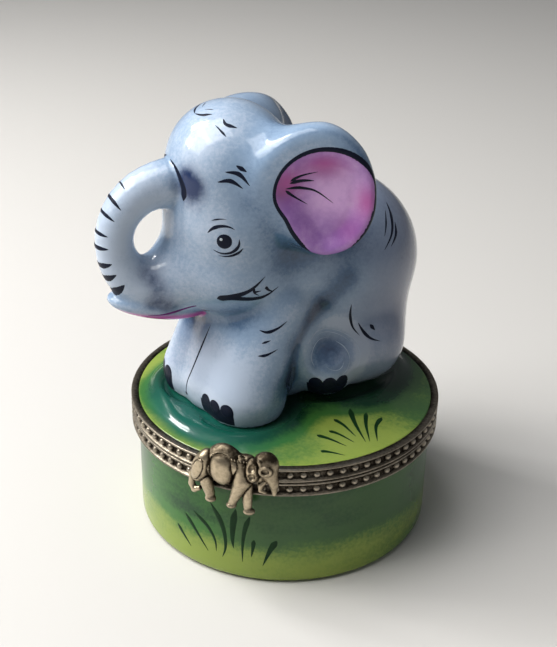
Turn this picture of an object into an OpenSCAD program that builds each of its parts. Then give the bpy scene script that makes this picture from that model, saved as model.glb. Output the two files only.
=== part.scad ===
// Hinged round porcelain trinket box with a seated elephant on its lid.
// Units are millimetres. The origin is the centre of the flat underside,
// +Z is up, the clasp is at -Y and the hinge at +Y.

/* [Box] */
// Outer radius of the porcelain bowl
bowl_r = 29.6; // [20:0.1:45]
// Thickness of the bowl's wall
wall = 3.0; // [2:0.1:5]
// Height of the joint between base and lid
split_z = 24; // [15:0.5:40]
// Gap between the two closed bezels
split_gap = 0.2; // [0.1:0.05:0.5]
// Radius of the rounding at the foot
foot_round = 1.5; // [0.5:0.1:3]
// Height of the level ground the figure stands on
ground_z = 28.5; // [26:0.1:32]

/* [Bezels] */
// Outer radius of both metal bezels
bezel_r = 31.0; // [21:0.1:47]
// Height of each bezel band
band_h = 2.8; // [2:0.1:5]
// Number of beads round a full band
bead_count = 78; // [24:1:120]
// Diameter of one bead
bead_d = 1.5; // [0.8:0.1:3]

/* [Hinge] */
// Distance of the hinge axis behind the centre
hinge_y = 32.9; // [22:0.1:50]
// Outer radius of the hinge knuckles
knuckle_r = 1.6; // [1.2:0.1:3]
// Radius of the hinge pin
pin_r = 0.75; // [0.4:0.05:1.5]
// Width of the whole hinge
hinge_w = 12; // [8:0.5:20]
// Running clearance between pin and lid knuckle
run_gap = 0.05; // [0.02:0.01:0.1]

/* [Figure] */
// Turn of the body about the vertical
figure_yaw = -123.5; // [-180:0.5:180]
// Turn of the head away from the body's own heading
head_turn = -18; // [-40:1:40]

/* [Hidden] */
figure_at = [-2.1, 1.4];
neck_x = 5;
trunk_at = [[18, 0, 24.5], [22.3, 0, 25], [25.6, 0, 27.2], [27.6, 0, 31], [27.9, 0, 35.3],
            [26.3, 0, 39.4], [23.2, 0, 42.4], [16, 0, 43.7]];
trunk_r = [6.5, 5.3, 4.3, 3.7, 3.55, 3.65, 3.95, 5.0];
ear_edge = [[9, 0], [7.5, 8.5], [1, 10.6], [-4.6, 8], [-6.9, 0.6], [-6.4, -5.6], [-1.2, -9.7], [5.6, -5.4]];
ear_half = 2.9;
e = 0.01;

inner_r = bowl_r - wall;
lip_h = 0.6;
base_top = split_z - split_gap / 2;
lid_low = split_z + split_gap / 2;
lid_rim_z = lid_low + band_h;
channel_r = bezel_r - 0.65;
rib = 0.5;
bead_step = 0.36;                      // height of each of a bead's two steps
bead_waist = 0.86;                     // width of a bead at its step, as a part of bead_d
bead_tip = 0.4;                        // width of a bead at its tip, as a part of bead_d
clasp_gap = 14.2;                      // half angle left without beads behind the clasp
hinge_gap = 14;                        // half angle left without beads at the hinge
leaf_out = bezel_r + 0.9;              // how far the hinge leaves reach out
mid_half = 2.05;                       // half width of the lid's middle knuckle
side_in = 2.2;                         // where the base's outer knuckles begin
web_t = 1.1;                           // thickness of the webs that carry the knuckles
charm_x = -0.6;                        // how far the charm sits off the middle
catch_x = 1.1;                         // place of the catch bead
catch_z = 22.6;
catch_r = 0.75;
dome_top = ground_z - 0.3;
dome_rim = bowl_r - 0.4;
plug_z = lid_low + 1.3;                // flat underside of the lid
vent_r = 2.2;                          // hole that opens the hollow figure to the box

// ---------- helpers ----------
module egg(c, s, turn = [0, 0, 0]) translate(c) rotate(turn) scale(s / 10) sphere(10, $fn = 26);
module ball(c, r, n = 18) translate(c) sphere(r, $fn = n);
module limb(a, b, ra, rb, n = 20) hull() {
  ball(a, ra, n);
  ball(b, rb, n);
}
module in_figure_frame()
  translate([figure_at[0], figure_at[1], ground_z]) rotate([0, 0, figure_yaw]) children();
module in_head_frame() translate([neck_x, 0, 0]) rotate([0, 0, head_turn]) children();

// One bezel band, drawn from its lower edge up, with a lip at one end
module band_profile(low, lip_low) {
  high = low + band_h;
  polygon([[bowl_r, low], [bezel_r, low], [bezel_r, low + rib], [channel_r, low + rib + 0.15],
           [channel_r, high - rib - 0.15], [bezel_r, high - rib], [bezel_r, high], [bowl_r, high]]);
  translate([inner_r, lip_low]) square([bowl_r - inner_r + e, lip_h]);
}

// One stepped, flat-topped bead standing on the channel's floor
module bead(a, mid_z) rotate([0, 0, a]) translate([channel_r - 0.02, 0, mid_z]) rotate([0, 90, 0]) {
  cylinder(h = bead_step, d1 = bead_d, d2 = bead_d * bead_waist, $fn = 8);
  translate([0, 0, bead_step - e])
    cylinder(h = bead_step, d1 = bead_d * bead_waist, d2 = bead_d * bead_tip, $fn = 8);
}

// Beads of one band; a bead is left out within a gap round the clasp and the hinge
module beads(mid_z, front_gap, back_gap) {
  for (i = [0 : bead_count - 1]) {
    a = 360 * (i + 0.5) / bead_count;
    if (abs(a - 270) > front_gap && abs(a - 90) > back_gap) bead(a, mid_z);
  }
}

// ---------- base ----------
module base_bowl() color([0.30, 0.42, 0.22])
  rotate_extrude($fn = 96) polygon(concat(
    [[0, 0], [bowl_r - foot_round, 0]],
    [for (a = [-75 : 15 : 0]) [bowl_r - foot_round + foot_round * cos(a), foot_round + foot_round * sin(a)]],
    [[bowl_r, base_top - lip_h], [inner_r, base_top - lip_h]],
    [for (a = [0 : -15 : -90]) [inner_r - 3 + 3 * cos(a), wall + 3 + 3 * sin(a)]],
    [[0, wall]]));

module base_bezel() color([0.36, 0.33, 0.24]) {
  rotate_extrude($fn = 96) band_profile(base_top - band_h, base_top - lip_h);
  beads(base_top - band_h / 2, 0, hinge_gap);
}

module leaf_plate(low, high) difference() {
  translate([-hinge_w / 2, bezel_r - 1.2, low]) cube([hinge_w, leaf_out - bezel_r + 1.2, high - low]);
  translate([0, 0, low - 1]) cylinder(r = bezel_r, h = high - low + 2, $fn = 96);
}

module knuckle(x0, x1, bore) difference() {
  translate([x0, hinge_y, split_z]) rotate([0, 90, 0]) cylinder(r = knuckle_r, h = x1 - x0, $fn = 32);
  translate([x0 - 1, hinge_y, split_z]) rotate([0, 90, 0]) cylinder(r = bore, h = x1 - x0 + 2, $fn = 32);
}

module relief(x0, x1) translate([x0, hinge_y, split_z]) rotate([0, 90, 0])
  cylinder(r = knuckle_r + 0.18, h = x1 - x0, $fn = 32);

module web(x0, x1, z0) difference() {
  translate([x0, bezel_r - 0.5, z0]) cube([x1 - x0, hinge_y - bezel_r + 0.5, web_t]);
  translate([0, 0, z0 - 1]) cylinder(r = bezel_r, h = 4, $fn = 96);
  translate([x0 - 1, hinge_y, split_z]) rotate([0, 90, 0])
    cylinder(r = knuckle_r - 0.3, h = x1 - x0 + 2, $fn = 32);
}

module base_hinge_leaf() color([0.36, 0.33, 0.24]) {
  difference() {
    leaf_plate(base_top - band_h + 0.3, base_top - 0.05);
    relief(-side_in, side_in);
  }
  for (s = [-1, 1]) {
    a = s < 0 ? -hinge_w / 2 : side_in;
    knuckle(a, a + hinge_w / 2 - side_in, pin_r + 0.01);
    web(a, a + hinge_w / 2 - side_in, base_top - 1.5);
  }
}

module hinge_pin() color([0.45, 0.41, 0.30]) translate([0, hinge_y, split_z]) rotate([0, 90, 0]) {
  translate([0, 0, -hinge_w / 2 - 0.3]) cylinder(r = pin_r, h = hinge_w + 0.6, $fn = 32);
  for (s = [-1, 1]) translate([0, 0, s * (hinge_w / 2 + 0.25) - 0.25])
    cylinder(r = pin_r + 0.4, h = 0.5, $fn = 32);
}

// Half-round bead that holds the clasp shut
module catch_ball() color([0.45, 0.41, 0.30])
  rotate([0, 0, atan(catch_x / bezel_r)]) translate([0, -bezel_r, catch_z]) rotate([90, 0, 0])
    rotate_extrude($fn = 32) polygon(concat(
      [[0, 0.02], [catch_r, 0.02]],
      [for (a = [15 : 15 : 75]) [catch_r * cos(a), 0.02 + 0.58 * sin(a)]],
      [[0, 0.6]]));

// ---------- lid ----------
module lid_plate() color([0.33, 0.44, 0.22]) difference() {
  union() {
    rotate_extrude($fn = 96) polygon(concat(
      [[0, plug_z], [inner_r - 0.4, plug_z], [inner_r, lid_low + lip_h], [bowl_r, lid_low + lip_h],
       [bowl_r, lid_rim_z - 0.4], [bowl_r - 0.12, lid_rim_z - 0.12], [dome_rim, lid_rim_z]],
      [for (i = [1 : 8]) let (r = dome_rim * (1 - i / 8))
        [r, lid_rim_z + (dome_top - lid_rim_z) * (1 - pow(r / dome_rim, 2))]]));
    intersection() {
      in_figure_frame() hull() {
        for (s = [-1, 1]) translate([13, s * 6, -1.7]) scale([1.28, 1.28, 0.25]) sphere(10, $fn = 32);
        translate([-9, 0, -1.7]) scale([1.9, 1.9, 0.25]) sphere(10, $fn = 32);
      }
      translate([0, 0, 26.2]) cylinder(r = bowl_r - 0.6, h = ground_z - 26.2, $fn = 96);
    }
  }
  in_figure_frame() translate([-9, 0, -6]) cylinder(r = vent_r, h = 12, $fn = 32);
}

module figure_body() {
  hull() {
    egg([-11.8, 0, 11], [16.7, 17.7, 16.7]);
    egg([-12.3, 0, 24], [19.4, 17.5, 17.2], [0, -20, 0]);
    egg([1, 0, 28], [12, 13, 15]);
  }
  for (s = [-1, 1]) {
    limb([-12.5, s * 11.5, 8.5], [-7, s * 12.1, 7], 8.1, 6);       // thigh
    egg([-2.6, s * 12.2, 6.4], [6.3, 5.5, 6.1], [0, 20, 0]);       // hind foot
    egg([3, s * 6, 10.5], [7.2, 7.4, 11.6]);                       // belly between the feet
    limb([6.5, s * 5.8, 20], [13.6, s * 6.9, 3.2], 7.6, 8);        // front leg
  }
}

// An ear stands in its own plane: x forward, z up
module ear(at, turn, side) translate(at) rotate([0, 0, turn]) difference() {
  hull() for (p = ear_edge) ball([p[0], 0, p[1]], ear_half, 14);
  egg([0, side * (ear_half + 12), -0.5], [13, 14, 14]);
}

module figure_head() {
  hull() {
    egg([6, 0, 47], [11.7, 12.2, 11.1]);
    egg([5.7, 0, 36.5], [12.8, 13.5, 11.2]);
    egg([5, 0, 27], [12.6, 13, 9.5]);
  }
  hull() {
    egg([14.5, 0, 26.8], [7.3, 7.8, 7.5]);
    egg([8, 0, 33], [10, 10, 10]);
  }
  for (i = [0 : len(trunk_at) - 2]) limb(trunk_at[i], trunk_at[i + 1], trunk_r[i], trunk_r[i + 1], 16);
  egg([20, 0, 20.7], [10.2, 5.7, 2.9], [0, -12, 0]);               // lower lip
  for (s = [-1, 1]) egg([0, s * 9.5, 49.1 - s * 0.5], [8.2, 6.2, 6.2]); // crown runs into the ears
  ear([-6.5, 15, 44.5], -20, 1);
  ear([-5.5, -15, 41.4], 20, -1);
}

// The hollow inside the slip-cast figure
module figure_hollow() {
  hull() {
    egg([-11.8, 0, 13], [13, 13.6, 13.6]);
    egg([-10.5, 0, 24.5], [15, 13, 12.8], [0, -20, 0]);
  }
  hull() {
    egg([-6, 0, 28], [9, 9, 9]);
    egg([10, 0, 42], [8, 8.5, 10]);
  }
}

module elephant_figure() color([0.56, 0.64, 0.74]) in_figure_frame() difference() {
  union() {
    figure_body();
    in_head_frame() figure_head();
  }
  figure_hollow();
  translate([-50, -50, -20]) cube([100, 100, 20]);
}

module lid_bezel() color([0.36, 0.33, 0.24]) {
  rotate_extrude($fn = 96) band_profile(lid_low, lid_low);
  beads(lid_low + band_h / 2, clasp_gap, hinge_gap);
}

module lid_hinge_leaf() color([0.36, 0.33, 0.24]) {
  difference() {
    leaf_plate(lid_low + 0.05, lid_rim_z - 0.3);
    relief(-hinge_w / 2 - 1, -mid_half);
    relief(mid_half, hinge_w / 2 + 1);
    translate([-mid_half, hinge_y, split_z]) rotate([0, 90, 0])
      cylinder(r = knuckle_r - 0.3, h = 2 * mid_half, $fn = 32);
  }
  knuckle(-mid_half, mid_half, pin_r + run_gap);
  web(-mid_half, mid_half, lid_low + 0.4);
}

// Small walking elephant on the front of the bezel. A place is given as [across, out from the
// axis, up] and wrapped round the bezel.
function wrap(p) = let (a = (p[0] + charm_x) / bezel_r * 180 / PI) [p[1] * sin(a), -p[1] * cos(a), p[2]];
module charm_limb(a, b, ra, rb) hull() {
  ball(wrap(a), ra, 12);
  ball(wrap(b), rb, 12);
}
module charm_egg(c, s, lean = 0) translate(wrap(c)) rotate([0, lean, 0]) scale(s / 10) sphere(10, $fn = 18);

module clasp_charm() color([0.47, 0.42, 0.31]) difference() {
  union() {
    hull() {                                                       // body
      charm_egg([-4.6, 31.2, 26.6], [2.4, 2.5, 2.4]);
      charm_egg([-1.2, 31.8, 27.1], [3.7, 2.5, 4.5]);
      charm_egg([2.8, 31.2, 27.6], [2.4, 2.5, 2.5]);
    }
    charm_egg([-5.4, 32.0, 26.0], [1.95, 2.1, 4.0], 21);           // haunch
    charm_limb([-5.0, 31.9, 23.8], [-3.9, 32.0, 19.7], 1.45, 1.1); // hind leg
    charm_limb([2.1, 32.0, 28.4], [2.4, 32.5, 25.0], 1.25, 1.65);  // front legs
    charm_limb([2.2, 32.5, 24.6], [0.4, 32.3, 19.4], 1.5, 0.95);
    charm_limb([2.9, 31.7, 23.5], [3.4, 31.8, 18.3], 1.2, 1.05);
    charm_egg([6.3, 32.0, 28.6], [2.45, 2.0, 2.8]);                // head
    charm_limb([7.0, 32.3, 27.2], [7.8, 32.3, 24.6], 1.45, 0.95);  // trunk
    charm_limb([7.8, 32.3, 24.6], [7.9, 32.1, 22.4], 0.9, 0.5);
    charm_limb([5.4, 31.8, 26.4], [5.6, 31.9, 23.6], 1.2, 0.7);    // jaw
    charm_limb([4.2, 33.0, 29.0], [4.2, 33.0, 26.4], 1.2, 1.2);    // ear
    charm_limb([-7.0, 31.5, 25.4], [-8.0, 31.6, 23.0], 0.8, 0.65); // tail
    charm_limb([-8.0, 31.6, 23.0], [-8.1, 31.7, 20.9], 0.65, 0.6);
    charm_limb([-8.1, 31.7, 20.9], [-6.6, 31.8, 20.1], 0.6, 0.5);
  }
  translate([0, 0, 10]) cylinder(r = bezel_r + 0.35, h = split_z - 10, $fn = 96);
  translate([0, 0, split_z - e]) cylinder(r = bezel_r, h = 12, $fn = 96);
  translate([catch_x - 0.95, -bezel_r - 1.05, 10]) cube([1.9, 2, catch_z + 1 - 10]);
}

base_bowl();
base_bezel();
base_hinge_leaf();
hinge_pin();
catch_ball();
lid_plate();
elephant_figure();
lid_bezel();
lid_hinge_leaf();
clasp_charm();
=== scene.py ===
import math

import bmesh
import bpy
import numpy as np
from mathutils import Matrix, Vector


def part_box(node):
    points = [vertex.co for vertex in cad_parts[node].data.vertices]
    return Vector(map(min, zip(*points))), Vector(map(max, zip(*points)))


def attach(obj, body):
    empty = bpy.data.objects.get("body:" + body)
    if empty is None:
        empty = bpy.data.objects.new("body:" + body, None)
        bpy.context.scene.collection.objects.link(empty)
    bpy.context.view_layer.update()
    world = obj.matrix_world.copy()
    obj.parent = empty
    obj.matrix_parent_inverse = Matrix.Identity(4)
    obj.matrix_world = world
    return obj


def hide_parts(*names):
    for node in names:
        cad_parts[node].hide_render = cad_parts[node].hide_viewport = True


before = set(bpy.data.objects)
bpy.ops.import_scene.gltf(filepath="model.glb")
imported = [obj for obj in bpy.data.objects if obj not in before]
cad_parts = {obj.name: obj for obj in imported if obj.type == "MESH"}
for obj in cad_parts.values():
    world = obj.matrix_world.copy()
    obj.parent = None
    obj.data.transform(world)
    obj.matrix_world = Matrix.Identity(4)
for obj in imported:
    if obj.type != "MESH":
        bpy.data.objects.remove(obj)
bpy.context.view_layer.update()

# ---------------- sizes
# Everything is worked out in millimetres and written to the meshes in metres.
MM = 0.001


def node_box(name):
    """Lowest and highest corner of a CAD node, in millimetres."""
    low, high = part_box(name)
    return np.array(low) / MM, np.array(high) / MM


bowl_low, bowl_high = node_box("base_bowl")
bowl_r = (bowl_high[0] - bowl_low[0]) / 2
bowl_top = bowl_high[2]
base_band_low, base_band_high = (v[2] for v in node_box("base_bezel"))
lid_band_low, lid_band_high = (v[2] for v in node_box("lid_bezel"))
ground_z = node_box("elephant_figure")[0][2]
wall = 3.0
inner_r = bowl_r - wall
rim_r = bowl_r - 0.4
bezel_r = bowl_r + 1.4
channel_r = bezel_r - 0.65
bead_r = 0.74
vent_r = 2.2
bead_count = 78
hinge_gap_deg = 14.0
clasp_gap_deg = 14.2

FIGURE_AT = np.array([-2.1, 1.4])
FIGURE_YAW = -123.5
NECK_X = 5.0
HEAD_TURN = -18.0
CHARM_X = -0.6
CATCH_X = 1.1
CATCH_Z = 22.6


# ---------------- signed distance shapes
# p is an array of points, shape (n, 3). Every shape returns the distance to its surface,
# below zero inside.
def fraction(x):
    """Limits values to the range from 0 to 1."""
    return np.clip(x, 0, 1)


def eased(x):
    """The same with a soft start and a soft end."""
    x = fraction(x)
    return x * x * (3 - 2 * x)


def length(rows):
    return np.linalg.norm(rows, axis=1)


def unit(rows):
    return rows / np.maximum(length(rows), 1e-6)[:, None]


def turn(axis, degrees):
    return np.array(Matrix.Rotation(math.radians(degrees), 3, axis), dtype=np.float32)


def soft_min(a, b, k):
    h = np.maximum(k - np.abs(a - b), 0) / k
    return np.minimum(a, b) - h ** 3 * k / 6


def soft_max(a, b, k):
    return -soft_min(-a, -b, k)


def egg(p, centre, radii, rotation=None):
    q = p - np.float32(centre)
    if rotation is not None:
        q = q @ rotation
    r = np.float32(radii)
    k0 = length(q / r)
    k1 = length(q / (r * r))
    return k0 * (k0 - 1) / np.maximum(k1, 1e-6)


def joined(first, *rest):
    """Joins shapes in turn; each after the first comes with how softly it joins."""
    for shape, k in rest:
        first = soft_min(first, shape, k)
    return first


def ball(p, centre, r):
    return length(p - np.float32(centre)) - r


def limb(p, a, b, ra, rb):
    """A cone with round ends, of radius ra at a and rb at b."""
    a, b = np.float32(a), np.float32(b)
    ba = b - a
    length2 = float(ba @ ba)
    dr = ra - rb
    a2 = length2 - dr * dr
    pa = p - a
    y = pa @ ba
    z = y - length2
    x = pa * length2 - y[:, None] * ba
    x2 = (x * x).sum(1)
    y2 = y * y * length2
    z2 = z * z * length2
    k = np.sign(dr) * dr * dr * x2
    d = (np.sqrt(x2 * a2 / length2) + y * dr) / length2 - ra
    d = np.where(np.sign(y) * a2 * y2 < k, np.sqrt(x2 + y2) / length2 - ra, d)
    return np.where(np.sign(z) * a2 * z2 > k, np.sqrt(x2 + z2) / length2 - rb, d)


def chain(p, points, radii, k):
    d = limb(p, points[0], points[1], radii[0], radii[1])
    for i in range(1, len(points) - 1):
        d = soft_min(d, limb(p, points[i], points[i + 1], radii[i], radii[i + 1]), k)
    return d


def gradient(field, p):
    step = 0.05
    shifts = np.concatenate([np.eye(3, dtype=np.float32), -np.eye(3, dtype=np.float32)]) * step
    f = field((p[None] + shifts[:, None]).reshape(-1, 3).astype(np.float32)).reshape(6, len(p))
    return ((f[:3] - f[3:]) / (2 * step)).T.astype(np.float32)


def slope_of(field, p):
    return unit(gradient(field, np.float32(p)))


def settle(field, p, rounds=3):
    """Moves points along the field's slope until they lie on its surface."""
    for _ in range(rounds):
        g = gradient(field, p)
        p = p - np.clip(field(p), -0.6, 0.6)[:, None] * g / np.maximum((g * g).sum(1), 0.1)[:, None]
    return p


def surface_net(field, low, high, step):
    """Meshes the zero surface of a field: vertices and quads, one vertex per crossed cell."""
    axes = [np.arange(low[i], high[i] + step, step, dtype=np.float32) for i in range(3)]
    shape = tuple(len(a) for a in axes)
    grid = np.stack(np.meshgrid(*axes, indexing="ij"), -1).reshape(-1, 3)
    f = field(grid).reshape(shape)
    inside = f < 0
    corners = [(i, j, k) for i in (0, 1) for j in (0, 1) for k in (0, 1)]
    count = sum(inside[i:shape[0] - 1 + i, j:shape[1] - 1 + j, k:shape[2] - 1 + k].astype(np.int8)
                for i, j, k in corners)
    crossed = (count > 0) & (count < 8)
    index = np.full(crossed.shape, -1)
    cells = np.argwhere(crossed)
    index[crossed] = np.arange(len(cells))
    total = np.zeros((len(cells), 3))
    hits = np.zeros(len(cells))
    for a in corners:
        for axis in range(3):
            if a[axis]:
                continue
            b = tuple(a[i] + (i == axis) for i in range(3))
            fa = f[tuple((cells + a).T)]
            fb = f[tuple((cells + b).T)]
            cut = (fa < 0) != (fb < 0)
            t = np.where(cut, fa / np.where(cut, fa - fb, 1), 0)
            point = np.array(a) + t[:, None] * np.eye(3)[axis]
            total[cut] += point[cut]
            hits[cut] += 1
    verts = (cells + total / hits[:, None]) * step + np.array(low)
    quads = []
    for axis in range(3):
        u, v = [(1, 2), (2, 0), (0, 1)][axis]
        here = [slice(1, n - 1) for n in shape]
        there = list(here)
        here[axis], there[axis] = slice(0, shape[axis] - 1), slice(1, shape[axis])
        edge = np.argwhere(inside[tuple(here)] != inside[tuple(there)])
        edge[:, u] += 1
        edge[:, v] += 1
        du, dv = np.eye(3, dtype=int)[u], np.eye(3, dtype=int)[v]
        ring = [edge - du - dv, edge - dv, edge, edge - du]
        quad = np.stack([index[tuple(c.T)] for c in ring], 1)
        outward = inside[tuple(edge.T)]
        quad[~outward] = quad[~outward][:, ::-1]
        quads.append(quad)
    return settle(field, verts.astype(np.float32)), np.concatenate(quads)


def closeness(field, p, reach):
    """How hemmed in each surface point is, from 0 in the open to 1 in a deep crease."""
    return fraction(1 - field(p + slope_of(field, p) * reach) / reach)


def smooth_path(points, steps):
    """A smooth curve through a few points."""
    points = np.asarray(points, float)
    if len(points) == 2:
        return np.float32(points[0] + np.linspace(0, 1, steps)[:, None] * (points[1] - points[0]))
    padded = np.vstack([2 * points[0] - points[1], points, 2 * points[-1] - points[-2]])
    out = []
    for t in np.linspace(0, len(points) - 1, steps):
        i = min(int(t), len(points) - 2)
        s = t - i
        p0, p1, p2, p3 = padded[i:i + 4]
        out.append(0.5 * (2 * p1 + (p2 - p0) * s + (2 * p0 - 5 * p1 + 4 * p2 - p3) * s * s
                          + (3 * p1 - p0 - 3 * p2 + p3) * s ** 3))
    return np.float32(out)


# ---------------- the elephant's shape
# Figure frame: +x the way the body faces, +y its left, z up from the ground under its feet.
HEAD = turn("Z", HEAD_TURN)
NECK = np.float32([NECK_X, 0, 0])
TRUNK_POINTS = [(18, 0, 24.5), (22.3, 0, 25), (25.6, 0, 27.2), (27.6, 0, 31), (27.9, 0, 35.3),
                (26.3, 0, 39.4), (23.2, 0, 42.4), (19.6, 0, 43.7), (16, 0, 43.7)]
TRUNK_RADII = [6.4, 5.2, 4.2, 3.6, 3.45, 3.55, 3.85, 4.2, 4.9]
# An ear is a leaf in its own plane: how far its edge and its painted inside reach from the middle,
# every 30 degrees from forward round over the top.
EAR_EDGE = [12.5, 13.2, 13.6, 13.2, 11.2, 9.8, 9.5, 10.5, 11.8, 12.4, 10.9, 10.7]
EAR_INSIDE = [9.1, 9.2, 8.9, 8.7, 8.8, 8.9, 8.7, 9.3, 10.7, 12.4, 9.2, 7.8]
TRUNK_PATH = smooth_path(TRUNK_POINTS, 19)
TRUNK_TAPER = smooth_path([(r, 0, 0) for r in TRUNK_RADII], 19)[:, 0]
LEFT_EAR = {"centre": (-6.5, 15, 44.5), "axes": turn("Z", -20), "side": 1}
RIGHT_EAR = {"centre": (-5.5, -15, 41.4), "axes": turn("Z", 20), "side": -1}
EAR_HALF = 2.9  # half an ear's thickness
EAR_DISH = 2.0  # depth of the hollow in its outer face
SOLE = (-0.6, 15.5, 10.5)  # middle of the hind foot's sole


def head_frame(p):
    return (p - NECK) @ HEAD


def both_sides(p):
    return p * np.float32([1, 0, 1]) + np.abs(p) * np.float32([0, 1, 0])


def rounded_reach(reach):
    """Smooths an outline's reach: angles and the reach at each, once round."""
    fine = np.linspace(0, 2 * math.pi, 145)
    r = np.interp(fine, np.linspace(0, 2 * math.pi, len(reach) + 1), reach + reach[:1])
    for _ in range(14):
        r[:-1] = (np.roll(r[:-1], 1) + 2 * r[:-1] + np.roll(r[:-1], -1)) / 4
    r[-1] = r[0]
    return fine, r


def outline_distance(u, v, reach):
    """Distance outside a rounded outline given by its reach at even angles."""
    fine, r = rounded_reach(reach)
    steep = np.gradient(r, fine) / r
    angle = np.mod(np.arctan2(v, u), 2 * math.pi)
    return (np.hypot(u, v) - np.interp(angle, fine, r)) / np.interp(angle, fine, np.sqrt(1 + steep ** 2))


def body_field(p):
    m = both_sides(p)
    foot = egg(m, (-2.6, 12.2, 6.2), (6.1, 5.3, 5.8), turn("Y", 20))
    reach = length(m - np.float32(SOLE))
    foot = foot + 0.05 * np.cos(reach * 4.2) * fraction(1.6 - reach / 4.5)
    return joined(
        egg(p, (-11.8, 0, 11), (16.5, 17.5, 16.5)),
        (egg(p, (-12.3, 0, 24), (19.2, 17.3, 17), turn("Y", -20)), 5),
        (egg(p, (1, 0, 28), (12, 13, 15)), 5),
        (limb(m, (-12.5, 11.5, 8.5), (-7, 12.1, 7), 8, 5.8), 4),
        (foot, 1.2),
        (egg(m, (3, 6, 10.5), (7, 7.2, 11.5)), 4),
        (limb(p, (6, 0, 22), (14.3, 0, 3.5), 9, 7.4), 3),
        (limb(m, (6.5, 5.8, 20), (13.6, 6.9, 3.2), 7.5, 7.9), 3))


def ear_place(g, ear):
    """Where points lie in an ear's plane: forward, up and outward."""
    q = (g - np.float32(ear["centre"])) @ ear["axes"]
    return q[:, 0], q[:, 2], q[:, 1] * ear["side"]


def ear_field(g, ear):
    """A thick leaf with a shallow dish in its outer face."""
    u, v, w = ear_place(g, ear)
    dish = EAR_DISH * eased(-outline_distance(u, v, EAR_INSIDE) / 4.5)
    slab = soft_max(w - EAR_HALF + dish, -w - EAR_HALF, 1)
    return soft_max(outline_distance(u, v, EAR_EDGE) + 0.6, slab, 4.5) * 0.9


def head_field(g):
    rise = chain(g, TRUNK_PATH[:13], TRUNK_TAPER[:13], 0.3)
    tip = chain(g, TRUNK_PATH[12:], TRUNK_TAPER[12:], 0.3)
    return joined(
        egg(g, (6, 0, 47), (11.5, 12, 11)),
        (egg(g, (5.7, 0, 36.5), (12.5, 13.2, 11)), 9),
        (egg(g, (5, 0, 27), (12.3, 12.8, 9.3)), 8),
        (egg(g, (14.5, 0, 26.8), (7, 7.5, 7.2)), 5),
        (egg(g, (-0.5, 7.5, 48.8), (7.5, 5, 5.4)), 5),
        (egg(g, (0, -9.5, 49.6), (8, 6, 6)), 5),
        (rise, 2.5),
        (tip, 0.5))


def lower_lip(g):
    return egg(g, (20, 0, 20.7), (10, 5.5, 2.7), turn("Y", -12))


def figure_field(p):
    g = head_frame(p)
    d = soft_min(body_field(p), head_field(g), 3.5)
    d = soft_min(d, lower_lip(g), 1.2)
    for ear in (LEFT_EAR, RIGHT_EAR):
        d = soft_min(d, ear_field(g, ear), 7)
    return np.maximum(d, -p[:, 2] - 0.3)


def inlaid(d, part):
    """Lays one shape into another with a fine groove round it."""
    groove = 0.16
    return np.minimum(soft_max(d, groove - part, 0.25), part)


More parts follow.
